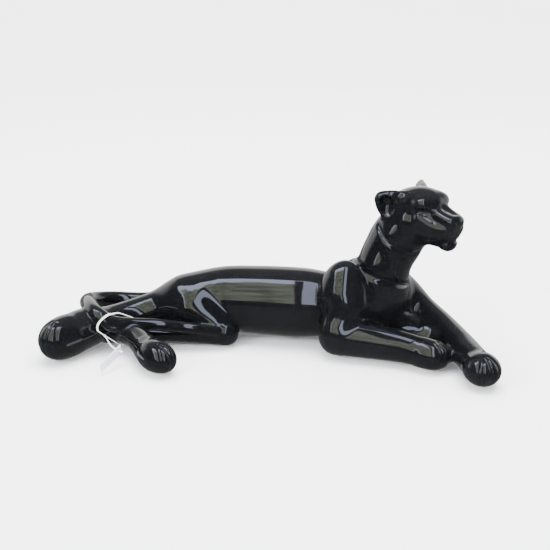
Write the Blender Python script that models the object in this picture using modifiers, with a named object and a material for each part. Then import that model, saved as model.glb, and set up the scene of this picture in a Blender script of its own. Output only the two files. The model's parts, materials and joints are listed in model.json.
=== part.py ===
"""Reclining-panther television lamp: a hollow glazed casting with a bulb and its holder behind the flank.

Millimetres are used for every size below and turned into metres when a mesh is made. +X is the way the
figure faces, -Y is its near side (the side on show), +Z is up and the felt pads stand on Z = 0.
"""

import math

import bmesh
import bpy
from mathutils import Matrix, Vector
from mathutils.geometry import convex_hull_2d

MM = 0.001
GAP = 0.3                                   # left between two pieces that touch

# The figure's own coordinates start under the middle of its back; this moves them to the middle of its box.
FIGURE_SHIFT = (0.0, 26.0, 0.0)

PAD_THICK, PAD_RADIUS = 1.5, 7.0
BOSS_RADIUS = 8.0                           # of the flat places under the casting that take the pads
FOOT_Z = PAD_THICK + GAP                    # underside of the casting
FLOOR_Z = FOOT_Z + 8.0                      # inside of the casting's floor
FIGURE_VOXEL, HOLLOW_VOXEL = 2.6, 4.5
FIGURE_FACES, HOLLOW_FACES = 5200, 500

TROUGH_SIZE = (116.0, 34.0, 26.0)           # the level part of the floor, and the room over it
TROUGH_MID = (6.0, 15.0, FLOOR_Z + TROUGH_SIZE[2] / 2)
LAMP_AXIS = (58.0, 16.0, 37.0)              # on the bracket's front face; the bulb points to -X from here
WINDOW_MID, WINDOW_SIZE, WINDOW_CORNER = (-9.0, 44.0, 36.0), (106.0, 40.0, 42.0), 13.0
CABLE_HOLE, CABLE_RADIUS = (57.0, 45.0, 31.0), 4.0
CABLE_WALL = 5.0                            # the casting's thickness round the cable hole
BOLT_XY = (44.0, 16.0)
BOLT_SHANK, BOLT_HOLE, SHEET_HOLE = 2.0, 2.6, 2.4
RECESS_RADIUS, RECESS_DEPTH = 6.0, 4.2      # the pocket under the casting for the screw's head
SHEET = 1.5                                 # the bracket's steel
NIPPLE_RADIUS, NIPPLE_HOLE = 5.0, 5.3
NUT_THICK, WASHER_THICK, CUSHION_THICK = 3.2, 0.8, 1.2

SWITCH_HEIGHT = 24.0                        # of the switch's shaft along the lamp axis
SHAFT_RADIUS, SHAFT_CLEARANCE = 2.0, 0.1

HEAD_AT, HEAD_YAW, HEAD_PITCH = (136.5, 12, 142.3), -42.0, 4.0

# Limbs are rows of x, y, z and radius.
LIMBS = {
    "trunk": [(-124, 14, 21, 15), (-96, 14, 30, 26), (-60, 15, 35.5, 33), (-20, 14, 37, 35),
              (25, 13, 37, 35.5), (60, 12, 38, 32), (92, 10, 48, 31)],
    "neck": [(107, 13, 64, 25), (109.5, 13, 86, 25.5), (118.5, 12, 108, 27), (130, 12, 128, 25)],
    "near_upper_arm": [(76, -17, 46, 20), (67, -25, 28, 19)],
    "near_foreleg": [(66, -29, 19.5, 18.5), (98, -34, 19, 17.5), (124, -39, 18, 16), (146, -45, 16, 14.5)],
    "far_foreleg": [(104, 34, 56, 24), (124, 32, 46, 20.5), (145, 23, 31, 17), (166, 0, 23, 15.5),
                    (185, -32, 18, 14.5), (196, -58, 16, 14.5)],
    "foreleg_web": [(98, 4, 32, 22), (122, 4, 22, 19), (146, -4, 16, 14), (164, -14, 13, 11)],
    "outstretched_hind_leg": [(-96, 8, 31, 27), (-125, 3, 24, 20), (-148, -6, 20, 17), (-167, -22, 19, 16.5),
                              (-183, -46, 21.5, 20), (-193, -64, 21, 20.5)],
    "folded_thigh": [(-80, -6, 30, 22), (-55, -16, 19, 16), (-46, -22, 14, 12)],
    "folded_shin": [(-48, -22, 13, 12), (-100, -26, 13, 10), (-162, -34, 13, 11)],
    "folded_foot": [(-166, -34, 15, 12), (-150, -39, 16.5, 11.5), (-132, -52, 17, 11.5), (-116, -72, 15, 13)],
    "tail": [(-104, 28, 28, 10), (-145, 34, 22, 8.5), (-178, 27, 23, 8.5), (-195, 7, 26, 9), (-184, -17, 27, 9),
             (-160, -34, 28, 8.5), (-120, -38, 26, 6.5), (-80, -36, 23, 5.5), (-55, -32, 19, 5)],
}
# Ellipsoids: centre, three radii, and a yaw, a pitch and at times a roll.
MASSES = {
    "haunch": ((-84, 4, 31.5), (34, 27, 29.5), (0, 0)),
    "chest": ((101, 10, 50), (33, 31, 36), (0, 0)),
    "withers": ((84, 14, 68), (20, 20, 19), (0, 0)),
    "far_shoulder": ((98, 36, 54), (26, 20, 30), (0, 0)),
    "near_shoulder": ((70.5, -13, 57), (25.5, 22, 35), (0, 3, -16)),
    "neck_base": ((106, 4, 80), (24, 23, 32), (0, 8, -12)),
    "near_paw": ((158, -50, 15), (19, 16, 14.5), (-20, 0)),
    "far_paw": ((204, -78, 16), (21, 17.5, 15.5), (-66, 0)),
    "outstretched_paw": ((-201, -76, 21), (23, 19.5, 20.5), (-112, 0)),
    "folded_paw": ((-101.5, -90, 15), (25, 16, 15.5), (-40, 0)),
}
HEAD_LIMBS = {
    "muzzle": [(16, 0, -5, 15), (32, 0, -6, 12.5), (42, 0, -6, 11)],
    "jaw": [(4, 0, -20, 14), (24, 0, -20.5, 10.5), (38, 0, -22.5, 7)],
}
HEAD_MASSES = {
    "skull": ((-1, 0, 0.5), (24, 23, 19), (0, 0)),
    "forehead": ((12, 0, 9), (19.5, 19.5, 13.5), (0, 0)),
    "cheeks": ((5, 0, -14), (22, 22.5, 20.5), (0, 0)),
    "chin": ((44, 0, -22.8), (7, 8.5, 6), (0, 0)),
    "nose": ((49.5, 0, 0.5), (4.5, 7, 5.5), (0, 0)),
}
# Found once on each side: centre, with y to the animal's left, radii, and a yaw and pitch.
HEAD_PAIRS = {
    "brow": ((19, 12, 12), (8.5, 8.5, 6.5), (18, 0)),
    "bridge": ((33, 6.5, 2.5), (17, 7, 6.5), (0, 9)),
    "muzzle_side": ((25, 11.5, -13), (20, 9, 8.5), (-8, 0)),
    "whisker_pad": ((40, 6.5, -11), (11, 7.5, 8), (-6, 8)),
    "ear_root": ((-10, 18, 11), (9, 8, 7.5), (40, 0)),
    "ear": ((-16.5, 25.5, 3), (5, 9.5, 14.5), (40, -17)),
    "ear_tip": ((-20.5, 28.5, 11), (4, 5, 6.5), (40, -17)),
}
HOLLOW_LIMBS = {
    "trunk_hollow": [(-70, 15, 37, 24), (-50, 15, 37.5, 26), (-15, 14, 37, 29.5), (25, 13, 37, 29.5),
                     (48, 12.5, 38, 27), (66, 12, 40, 24), (82, 11, 46, 21)],
    "neck_hollow": [(88, 12, 56, 18), (104, 13, 82, 17), (116, 12, 108, 17.5), (128, 12, 130, 15)],
}

PAD_SPOTS = {
    "elbow": (70, -25), "belly": (16, 26), "far_paw": (203, -75), "hip": (-82, 16),
    "folded_paw": (-102, -88), "outstretched_paw": (-200, -72),
}

STRING_RADIUS = 0.55
STRING_CLEAR = 0.8                          # between the string and what it goes round
LOOP_KNOT, END_KNOT = 1.3, 1.7
LOOP_AT, LOOP_YAW = (-156.0, -40.0), 233.0  # the loop stands in the upright plane through here
LOOPED = ("folded_foot", "folded_shin", "tail")
LOOP_REACH, STRING_STEP = 40.0, 4.0
TAG_LENGTH, TAG_WIDTH, TAG_THICK, TAG_HOLE, TAG_CORNER = 34.0, 10.0, 0.5, 1.6, 1.5
TAG_HOLE_AT, TAG_HOLE_INSET = (-141.0, -80.5, 14.0), 4.0
TAG_YAW, TAG_PITCH, TAG_ROLL = 249.0, 14.0, 84.0

SURFACES = {                                # colour, roughness, metallic
    "black_glaze": ((0.008, 0.008, 0.009), 0.06, 0.0),
    "zinc_steel": ((0.55, 0.56, 0.56), 0.35, 1.0),
    "brass": ((0.62, 0.45, 0.18), 0.30, 1.0),
    "bakelite": ((0.035, 0.017, 0.010), 0.30, 0.0),
    "porcelain": ((0.80, 0.78, 0.73), 0.25, 0.0),
    "spring_bronze": ((0.60, 0.36, 0.20), 0.30, 1.0),
    "nickel_cap": ((0.66, 0.62, 0.52), 0.28, 1.0),
    "black_glass": ((0.02, 0.02, 0.025), 0.15, 0.0),
    "solder": ((0.52, 0.52, 0.50), 0.40, 1.0),
    "bulb_glass": ((0.95, 0.95, 0.92), 0.05, 0.0),
    "tungsten": ((0.22, 0.21, 0.20), 0.45, 1.0),
    "rubber": ((0.03, 0.03, 0.03), 0.75, 0.0),
    "fibre": ((0.26, 0.08, 0.05), 0.70, 0.0),
    "felt": ((0.05, 0.10, 0.06), 0.95, 0.0),
    "twine": ((0.85, 0.84, 0.80), 0.85, 0.0),
    "card": ((0.90, 0.89, 0.86), 0.80, 0.0),
}


def clear_scene():
    for obj in list(bpy.data.objects):
        bpy.data.objects.remove(obj, do_unlink=True)


def new_collection(name, hidden=False):
    group = bpy.data.collections.new(name)
    group.hide_render = hidden
    bpy.context.scene.collection.children.link(group)
    return group


def surface(name):
    material = bpy.data.materials.get(name)
    if material is None:
        colour, roughness, metallic = SURFACES[name]
        material = bpy.data.materials.new(name)
        material.use_nodes = True
        shader = material.node_tree.nodes["Principled BSDF"]
        shader.inputs["Base Color"].default_value = (*colour, 1.0)
        shader.inputs["Roughness"].default_value = roughness
        shader.inputs["Metallic"].default_value = metallic
    return material


def turned_by(yaw, pitch, roll=0.0):
    """Yaw about Z, then pitch, which lowers +X, then roll about the new X, in degrees."""
    return (Matrix.Rotation(math.radians(yaw), 4, "Z") @ Matrix.Rotation(math.radians(pitch), 4, "Y")
            @ Matrix.Rotation(math.radians(roll), 4, "X"))


def placed(at, rotation=None):
    """Where a piece modelled round its own origin goes, from figure coordinates in millimetres."""
    shifted = (Vector(at) + Vector(FIGURE_SHIFT)) * MM
    return Matrix.Translation(shifted) @ (rotation or Matrix.Identity(4))


LAMP_TURN = Matrix.Rotation(math.radians(-90), 4, "Y")     # local Z runs along -X
OUTWARD_TURN = Matrix.Rotation(math.radians(-90), 4, "X")  # local Z runs along +Y
ON_LAMP_AXIS = placed(LAMP_AXIS, LAMP_TURN)


def add_object(name, mesh, group, matrix=None, finish=None):
    obj = bpy.data.objects.new(name, mesh)
    group.objects.link(obj)
    if matrix is not None:
        obj.matrix_world = matrix
    if finish:
        mesh.materials.append(surface(finish))
    if group is CUTTERS:
        obj.hide_render = True
        obj.display_type = "WIRE"
    return obj


def mesh_from(name, fill, *arguments):
    """A mesh that fill(bm, ...) has built in millimetres."""
    bm = bmesh.new()
    fill(bm, *arguments)
    bmesh.ops.scale(bm, vec=(MM, MM, MM), verts=bm.verts)
    bmesh.ops.recalc_face_normals(bm, faces=bm.faces)
    mesh = bpy.data.meshes.new(name)
    bm.to_mesh(mesh)
    bm.free()
    return mesh


def baked(obj):
    """The object with its modifiers, and a curve's bevel, turned into a plain mesh."""
    bpy.context.view_layer.update()
    evaluated = obj.evaluated_get(bpy.context.evaluated_depsgraph_get())
    mesh = bpy.data.meshes.new_from_object(evaluated)
    name, matrix, group = obj.name, obj.matrix_world.copy(), obj.users_collection[0]
    was_curve = obj.type == "CURVE"
    bpy.data.objects.remove(obj, do_unlink=True)
    if was_curve:
        bm = bmesh.new()
        bm.from_mesh(mesh)
        bmesh.ops.remove_doubles(bm, verts=bm.verts, dist=1e-6)
        bmesh.ops.recalc_face_normals(bm, faces=bm.faces)
        bm.to_mesh(mesh)
        bm.free()
    return add_object(name, mesh, group, matrix)


def boolean(target, cutter, operation="DIFFERENCE"):
    step = target.modifiers.new(f"{operation.lower()}_{cutter.name}", "BOOLEAN")
    step.operation = operation
    step.object = cutter
    step.solver = "EXACT"


def smooth_round(obj, degrees=35):
    obj.data.shade_smooth()
    obj.data.set_sharp_from_angle(angle=math.radians(degrees))


def block(name, size, matrix, group, finish=None, corner=0.0, along=2):
    """A box, with the four edges that run along one axis rounded."""
    def fill(bm):
        bmesh.ops.create_cube(bm, size=1.0)
        bmesh.ops.scale(bm, vec=size, verts=bm.verts)
        if corner:
            across = [i for i in range(3) if i != along]
            edges = [e for e in bm.edges
                     if all(abs(e.verts[0].co[i] - e.verts[1].co[i]) < 1e-6 for i in across)]
            bmesh.ops.bevel(bm, geom=edges, offset=corner, segments=6, affect="EDGES", profile=0.5)
    return add_object(name, mesh_from(name, fill), group, matrix, finish)


def cylinder(name, radius, low, high, matrix, group, finish=None, sides=32):
    def fill(bm):
        move = Matrix.Translation((0, 0, (low + high) / 2))
        bmesh.ops.create_cone(bm, cap_ends=True, segments=sides, radius1=radius, radius2=radius,
                              depth=high - low, matrix=move)
    obj = add_object(name, mesh_from(name, fill), group, matrix, finish)
    smooth_round(obj)
    return obj


def turned(name, outline, matrix, finish, steps=24, ring=True):
    """A turned piece. The outline is radius and height, down the outer side; a ring comes back up its bore."""
    mesh = bpy.data.meshes.new(name)
    points = [(radius * MM, 0.0, height * MM) for radius, height in outline]
    edges = [(i, i + 1) for i in range(len(points) - 1)]
    if ring:
        edges.append((len(points) - 1, 0))
    mesh.from_pydata(points, edges, [])
    obj = add_object(name, mesh, PARTS, matrix, finish)
    screw = obj.modifiers.new("turn", "SCREW")
    screw.angle = math.tau
    screw.steps = steps
    screw.render_steps = steps
    screw.use_merge_vertices = True
    screw.merge_threshold = 1e-6
    obj = baked(obj)
    smooth_round(obj)
    return obj


def hexagon(name, across_flats, bore, low, high, matrix, finish):
    nut = cylinder(name, across_flats / math.sqrt(3), low, high, matrix, PARTS, finish, sides=6)
    hole = cylinder(f"{name}_bore", bore, low - 2, high + 2, matrix, CUTTERS, sides=24)
    boolean(nut, hole)
    return nut


def tube_curve(name, rows, group, matrix=None, finish=None, kind="BEZIER", cyclic=False, around=4, along=5):
    """A round tube through rows of x, y, z and radius, in millimetres."""
    curve = bpy.data.curves.new(name, "CURVE")
    curve.dimensions = "3D"
    curve.bevel_depth = MM
    curve.bevel_resolution = around
    curve.resolution_u = along
    curve.use_fill_caps = not cyclic
    spline = curve.splines.new(kind)
    spline.use_cyclic_u = cyclic
    points = spline.bezier_points if kind == "BEZIER" else spline.points
    points.add(len(rows) - 1)
    for point, (x, y, z, radius) in zip(points, rows):
        if kind == "BEZIER":
            point.co = Vector((x, y, z)) * MM
            point.handle_left_type = point.handle_right_type = "AUTO"
        else:
            point.co = (x * MM, y * MM, z * MM, 1.0)
        point.radius = radius
    return add_object(name, curve, group, matrix, finish)


# ---------------------------------------------------------------- the casting

def ball(name, centre, radii, turn, frame, detail=3):
    """An ellipsoid in the frame given, as one of the masses of the figure."""
    local = Matrix.Translation(Vector(centre) * MM) @ turned_by(*turn)

    def fill(bm):
        bmesh.ops.create_icosphere(bm, subdivisions=detail, radius=1.0)
        bmesh.ops.scale(bm, vec=radii, verts=bm.verts)
    return add_object(name, mesh_from(name, fill), CUTTERS, frame @ local)


def limb(name, rows, frame):
    """A tube of changing radius with a ball at each end."""
    pieces = [baked(tube_curve(name, rows, CUTTERS, frame, around=6, along=8))]
    for end, (x, y, z, radius) in (("start", rows[0]), ("end", rows[-1])):
        pieces.append(ball(f"{name}_{end}", (x, y, z), (radius,) * 3, (0, 0), frame))
    return pieces


def fused(name, pieces, voxel, faces, smoothing, group, finish=None):
    """One closed skin round all the pieces: voxel remesh, smoothing, then fewer faces."""
    bm = bmesh.new()
    for piece in pieces:
        mesh = piece.data.copy()
        mesh.transform(piece.matrix_world)
        bm.from_mesh(mesh)
        bpy.data.meshes.remove(mesh)
        bpy.data.objects.remove(piece, do_unlink=True)
    mesh = bpy.data.meshes.new(name)
    bm.to_mesh(mesh)
    bm.free()
    skin = add_object(name, mesh, group)
    remesh = skin.modifiers.new("skin", "REMESH")
    remesh.mode = "VOXEL"
    remesh.voxel_size = voxel * MM
    relax = skin.modifiers.new("relax", "SMOOTH")
    relax.factor = 0.5
    relax.iterations = smoothing
    skin = baked(skin)
    skin.data.materials.clear()
    thin = skin.modifiers.new("fewer_faces", "DECIMATE")
    thin.ratio = faces / (2 * len(skin.data.polygons))
    skin = baked(skin)
    skin.data.shade_smooth()
    if finish:
        skin.data.materials.append(surface(finish))
    return skin


def panther_pieces():
    body = placed((0, 0, 0))
    head = placed(HEAD_AT, turned_by(HEAD_YAW, HEAD_PITCH))
    pieces = []
    for frame, limbs, masses in ((body, LIMBS, MASSES), (head, HEAD_LIMBS, HEAD_MASSES)):
        for name, rows in limbs.items():
            pieces += limb(name, rows, frame)
        for name, (centre, radii, turn) in masses.items():
            pieces.append(ball(name, centre, radii, turn, frame))
    for spot, (x, y) in PAD_SPOTS.items():
        pieces += limb(f"boss_{spot}", [(x, y, -4, BOSS_RADIUS), (x, y, 4, BOSS_RADIUS)], body)
    for name, ((x, y, z), radii, (yaw, pitch)) in HEAD_PAIRS.items():
        for side_name, side in (("left", 1), ("right", -1)):
            pieces.append(ball(f"{name}_{side_name}", (x, side * y, z), radii, (side * yaw, pitch), head))
    return pieces


def hollow_cutter():
    """The space inside the trunk and neck, flat at the floor."""
    frame = placed((0, 0, 0))
    pieces = [piece for name, rows in HOLLOW_LIMBS.items() for piece in limb(name, rows, frame)]
    hollow = fused("hollow", pieces, HOLLOW_VOXEL, HOLLOW_FACES, 3, CUTTERS)
    floor = block("hollow_floor", (400, 200, 60), placed((0, 0, FLOOR_Z - 30)), CUTTERS)
    boolean(hollow, floor)
    return hollow


def make_shell():
    shell = fused("panther_shell", panther_pieces(), FIGURE_VOXEL, FIGURE_FACES, 4, PARTS, "black_glaze")
    facing = placed(CABLE_HOLE, OUTWARD_TURN)
    bolt = placed((*BOLT_XY, 0))
    cutters = [
        block("foot_plane", (600, 400, 60), placed((0, 0, FOOT_Z - 30)), CUTTERS),
        hollow_cutter(),
        block("floor_trough", TROUGH_SIZE, placed(TROUGH_MID), CUTTERS, corner=6.0),
        block("window", WINDOW_SIZE, placed(WINDOW_MID), CUTTERS, corner=WINDOW_CORNER, along=1),
        cylinder("cable_hole", CABLE_RADIUS + 1.0, -12, 12, facing, CUTTERS),
        cylinder("cable_spot_face", CABLE_RADIUS + 4.0, CABLE_WALL / 2, 14, facing, CUTTERS),
        cylinder("cable_inner_face", CABLE_RADIUS + 3.5, -9, -CABLE_WALL / 2, facing, CUTTERS),
        cylinder("bolt_hole", BOLT_HOLE, -5, 30, bolt, CUTTERS, sides=24),
        cylinder("bolt_recess", RECESS_RADIUS, -5, FOOT_Z + RECESS_DEPTH, bolt, CUTTERS, sides=24),
        string_loop("string_gap", CUTTERS, STRING_RADIUS + 0.7),
    ]
    for cutter in cutters:
        boolean(shell, cutter)
    return shell


# ---------------------------------------------------------------- the bracket and its fastening

def make_bracket():
    """A bent strap: a foot under the holder and an upright that carries the nipple."""
    width, reach, top = 20.0, 26.0, 48.0
    x, y, z = LAMP_AXIS
    bottom = FLOOR_Z + 2 * GAP + CUSHION_THICK
    foot_mid = placed((x + SHEET - reach / 2, y, bottom + SHEET / 2))
    upright_mid = placed((x + SHEET / 2, y, (bottom + top) / 2))
    bracket = block("lamp_bracket", (reach, width, SHEET), foot_mid, PARTS, "zinc_steel", 3.0)
    upright = block("bracket_upright", (SHEET, width, top - bottom), upright_mid, CUTTERS, corner=4.0, along=0)
    heel = block("bracket_heel", (SHEET, width, 8.0), placed((x + SHEET / 2, y, bottom + 4.0)), CUTTERS)
    boolean(bracket, upright, "UNION")
    boolean(bracket, heel, "UNION")
    boolean(bracket, cylinder("bracket_nipple_hole", NIPPLE_HOLE, -6, 6, ON_LAMP_AXIS, CUTTERS))
    bolt = placed((*BOLT_XY, 0))
    boolean(bracket, cylinder("bracket_bolt_hole", SHEET_HOLE, 0, 30, bolt, CUTTERS, sides=24))


def screw_outline(head_radius, head_height, shank_radius, length):
    """A cheese-head screw standing on its head: the head's underside is at height 0, the shank goes up."""
    return [(0, length), (shank_radius - 0.4, length), (shank_radius, length - 0.6), (shank_radius, 0),
            (head_radius, 0), (head_radius, -head_height + 0.6), (head_radius - 0.6, -head_height),
            (0, -head_height)]


def slotted_screw(name, head_radius, head_height, shank_radius, length, matrix, finish):
    outline = screw_outline(head_radius, head_height, shank_radius, length)
    screw = turned(name, outline, matrix, finish, steps=24, ring=False)
    slot_at = matrix @ Matrix.Translation((0, 0, -head_height * MM))
    slot = block(f"{name}_slot", (head_radius * 3, 0.9, head_height), slot_at, CUTTERS)
    boolean(screw, slot)


def flat_ring(name, outer, inner, low, high, matrix, finish, steps=24):
    turned(name, [(outer, high), (outer, low), (inner, low), (inner, high)], matrix, finish, steps)


def make_fastening():
    """From the table up: screw, fibre washer, casting, cushion, bracket, washer, nut."""
    bolt = placed((*BOLT_XY, 0))
    washer_top = FOOT_Z + RECESS_DEPTH - GAP
    fibre_thick = 1.0
    flat_ring("fibre_washer", 5.2, SHEET_HOLE, washer_top - fibre_thick, washer_top, bolt, "fibre")
    head_top = washer_top - fibre_thick - GAP
    slotted_screw("bracket_screw", 3.9, head_top - FOOT_Z, BOLT_SHANK, 16.5,
                  placed((*BOLT_XY, head_top)), "zinc_steel")
    cushion_mid = placed((*BOLT_XY, FLOOR_Z + GAP + CUSHION_THICK / 2))
    cushion = block("cushion_pad", (20, 22, CUSHION_THICK), cushion_mid, PARTS, "rubber", 3.0)
    boolean(cushion, cylinder("cushion_hole", BOLT_HOLE, 0, 30, bolt, CUTTERS, sides=24))
    washer_low = FLOOR_Z + 2 * GAP + CUSHION_THICK + SHEET + GAP
    nut_low = washer_low + WASHER_THICK + GAP
    flat_ring("steel_washer", 4.5, SHEET_HOLE, washer_low, washer_low + WASHER_THICK, bolt, "zinc_steel")
    hexagon("bracket_nut", 7.0, SHEET_HOLE, nut_low, nut_low + NUT_THICK, bolt, "zinc_steel")


def make_nipple():
    """The hollow threaded tube that joins the holder to the bracket, with its washer and lock nut."""
    bore, front, back = 3.5, 10.5, -9.5
    turned("threaded_nipple", [(NIPPLE_RADIUS - 0.4, front), (NIPPLE_RADIUS, front - 0.5),
                               (NIPPLE_RADIUS, back + 0.5), (NIPPLE_RADIUS - 0.4, back),
                               (bore, back), (bore, front)], ON_LAMP_AXIS, "brass")
    washer_high = -SHEET - GAP
    nut_high = washer_high - WASHER_THICK - GAP
    flat_ring("toothed_washer", 7.6, NIPPLE_HOLE, washer_high - WASHER_THICK, washer_high, ON_LAMP_AXIS,
              "zinc_steel")
    hexagon("lock_nut", 14.0, NIPPLE_HOLE, nut_high - NUT_THICK, nut_high, ON_LAMP_AXIS, "brass")


# ---------------------------------------------------------------- the bulb holder

CORE_LOW, CORE_HIGH, CORE_RADIUS = 19.8, 29.0, 11.4


def make_holder():
    turned("holder_cap", [(11.6, 19.5), (11.6, 15), (13.8, 15), (13.8, 11), (12.4, 7.5), (9.6, 4.6),
                          (8, 3), (8, GAP), (5.3, GAP), (5.3, 5), (7.5, 6.5), (9.9, 11), (9.9, 19.5)],
           ON_LAMP_AXIS, "bakelite")
    skirt = turned("holder_skirt", [(12.4, 46), (13.2, 45.2), (13.2, 36), (13.8, 35), (13.8, 15.3),
                                    (12, 15.3), (12, 31), (11.4, 33), (11.4, 44.4), (8.6, 44.4), (8.6, 46)],
                   ON_LAMP_AXIS, "bakelite")
    switch_hole = placed(switch_centre(), OUTWARD_TURN)
    boolean(skirt, cylinder("switch_hole", SHAFT_RADIUS + SHAFT_CLEARANCE, 6, 20, switch_hole, CUTTERS))
    core = turned("holder_core", [(0, CORE_HIGH), (CORE_RADIUS, CORE_HIGH), (CORE_RADIUS, CORE_LOW),
                                  (0, CORE_LOW)], ON_LAMP_AXIS, "porcelain", ring=False)
    for side_name, side in (("live", 1), ("neutral", -1)):
        screw_at = ON_LAMP_AXIS @ Matrix.Translation((0, side * 5.6 * MM, (CORE_LOW - GAP) * MM))
        hole = cylinder(f"terminal_hole_{side_name}", 1.7, -2, 6, screw_at, CUTTERS, sides=16)
        boolean(core, hole)
        slotted_screw(f"terminal_screw_{side_name}", 2.8, 1.8, 1.3, 5.0, screw_at, "brass")
    turned("thread_sleeve", [(7.9, 43.5), (7.9, 31), (10, 31), (10, 29.3), (7.3, 29.3), (7.3, 43.5)],
           ON_LAMP_AXIS, "brass")
    make_centre_contact()


def make_centre_contact():
    """A springy tongue at the bottom of the sleeve, lifted in the middle where the bulb presses on it."""
    rows = [(-5.5, 29.6), (-2.0, 29.6), (2.0, 31.6), (4.5, 32.0), (5.6, 31.2)]

    def fill(bm):
        previous = None
        for x, z in rows:
            pair = [bm.verts.new((x, -1.8, z)), bm.verts.new((x, 1.8, z))]
            if previous:
                bm.faces.new((previous[0], pair[0], pair[1], previous[1]))
            previous = pair
    tongue = add_object("centre_contact", mesh_from("centre_contact", fill), PARTS, ON_LAMP_AXIS,
                        "spring_bronze")
    thick = tongue.modifiers.new("sheet", "SOLIDIFY")
    thick.thickness = 0.4 * MM
    thick.offset = 1.0


def switch_centre():
    x, y, z = LAMP_AXIS
    return (x - SWITCH_HEIGHT, y, z)


def make_switch():
    """The turn switch: a brass shaft out of the holder's side, with a winged knob to grip."""
    matrix = placed(switch_centre(), OUTWARD_TURN)
    cylinder("switch_shaft", SHAFT_RADIUS, CORE_RADIUS + GAP, 21.5, matrix, PARTS, "brass")
    knob = turned("switch_knob", [(4.2, 18.2), (6.2, 17.4), (6.4, 15), (5.6, 14.2), (2.3, 14.2), (2.3, 18.2)],
                  matrix, "bakelite")
    wing_at = matrix @ Matrix.Translation((0, 0, 20.6 * MM))
    wing = block("knob_wing", (13.0, 4.2, 7.2), wing_at, CUTTERS, corner=2.0, along=2)
    boolean(knob, wing, "UNION")
    boolean(knob, cylinder("knob_bore", SHAFT_RADIUS + GAP, 10, 21.8, matrix, CUTTERS, sides=24))


# ---------------------------------------------------------------- the bulb

def arc(centre_h, radius, start, end, count):
    """Radius and height along a circle about a point on the axis; angles are from the axis, in degrees."""
    angles = [math.radians(start + (end - start) * i / (count - 1)) for i in range(count)]
    return [(radius * math.sin(a), centre_h + radius * math.cos(a)) for a in angles]


def make_bulb():
    """A small round-ended bulb. Heights are along the lamp axis, with the bulb's tip in the holder."""
    tip, cap_low, cap_high = 32.8, 38.2, 52.0
    bulb_radius, wall, dome_mid, neck_radius = 13.0, 0.7, 78.0, 6.2
    turned("bulb_contact", [(0, tip + 2.6), (2.2, tip + 2.6), (2.2, tip + 0.9), (1.5, tip + 0.2), (0, tip)],
           ON_LAMP_AXIS, "solder", steps=24, ring=False)
    turned("bulb_insulator", [(5.6, cap_low - GAP), (4.6, tip + 3.2), (3.4, tip + 1.6), (2.5, tip + 1.6),
                              (2.5, cap_low - GAP)], ON_LAMP_AXIS, "black_glass", steps=24)
    thread = [(6.95 if i % 2 else 6.55, cap_high - 1.5 - i * 1.4) for i in range(8)]
    turned("bulb_cap", [(6.95, cap_high)] + thread + [(5.9, cap_low), (2.6, cap_low), (2.6, cap_low + 0.5),
                        (5.6, cap_low + 0.7), (6.25, cap_low + 2.5), (6.5, cap_high)],
           ON_LAMP_AXIS, "nickel_cap")
    neck_high, neck_low, shoulder = 55.0, 44.0, 66.0
    outside = arc(dome_mid, bulb_radius, 0, 100, 8) + [(10.8, shoulder + 1), (7.2, neck_high + 2),
                                                       (neck_radius, neck_high - 1), (neck_radius, neck_low)]
    inside = [(neck_radius - wall, neck_low), (neck_radius - wall, neck_high), (7.2 - wall, neck_high + 3),
              (10.8 - wall, shoulder + 2)] + arc(dome_mid, bulb_radius - wall, 100, 0, 8)
    turned("bulb_glass", outside + inside, ON_LAMP_AXIS, "bulb_glass", ring=False)
    turned("bulb_stem", [(0, 64), (1.2, 64), (2.0, 62), (2.0, 50), (5.0, 45), (4.4, 44.4), (0, 48)],
           ON_LAMP_AXIS, "bulb_glass", steps=20, ring=False)
    zigzag = [(-6.5 + 1.3 * i, 0.0, 76.5 + (1.2 if i % 2 else -1.2), 0.35) for i in range(11)]
    rows = [(-0.9, 0, 64.5, 0.35), (-6.8, 0, 74, 0.35)] + zigzag + [(6.8, 0, 74, 0.35), (0.9, 0, 64.5, 0.35)]
    tube_curve("bulb_filament", rows, PARTS, ON_LAMP_AXIS, "tungsten", kind="POLY", around=1)


# ---------------------------------------------------------------- grommet, pads and tag

def make_grommet():
    """A rubber ring, clipped in the cable hole by a flange on each side of the wall."""
    matrix = placed(CABLE_HOLE, OUTWARD_TURN)
    bore, groove, flange = CABLE_RADIUS - 0.8, CABLE_RADIUS + 0.7, CABLE_RADIUS + 2.9
    half_wall = CABLE_WALL / 2 + GAP
    turned("cable_grommet", [(flange - 0.8, half_wall + 1.8), (flange, half_wall + 1.0), (flange, half_wall),
                             (groove, half_wall), (groove, -half_wall), (flange, -half_wall),
                             (flange - 0.8, -half_wall - 1.4), (bore, -half_wall - 1.4),
                             (bore, half_wall + 1.8)], matrix, "rubber", steps=24)


def make_pads():
    for spot, at in PAD_SPOTS.items():
        cylinder(f"felt_pad_{spot}", PAD_RADIUS, 0, PAD_THICK, placed((*at, 0)), PARTS, "felt", sides=24)


def limb_sections(names, centre, across, facing):
    """Where the named limbs cross the upright plane: distance along it, height, half width and half height."""
    sections = []
    for rows in (LIMBS[name] for name in names):
        for p, q in zip(rows, rows[1:]):
            side_p, side_q = ((Vector(row[:2]) - centre).dot(facing) for row in (p, q))
            if side_p * side_q > 0:
                continue
            x, y, z, radius = Vector(p).lerp(Vector(q), side_p / (side_p - side_q))
            along = (Vector((x, y)) - centre).dot(across)
            lean = abs((Vector(q[:2]) - Vector(p[:2])).normalized().dot(facing))
            if abs(along) < LOOP_REACH:
                sections.append((along, z, radius / lean, radius))
    return sections


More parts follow.
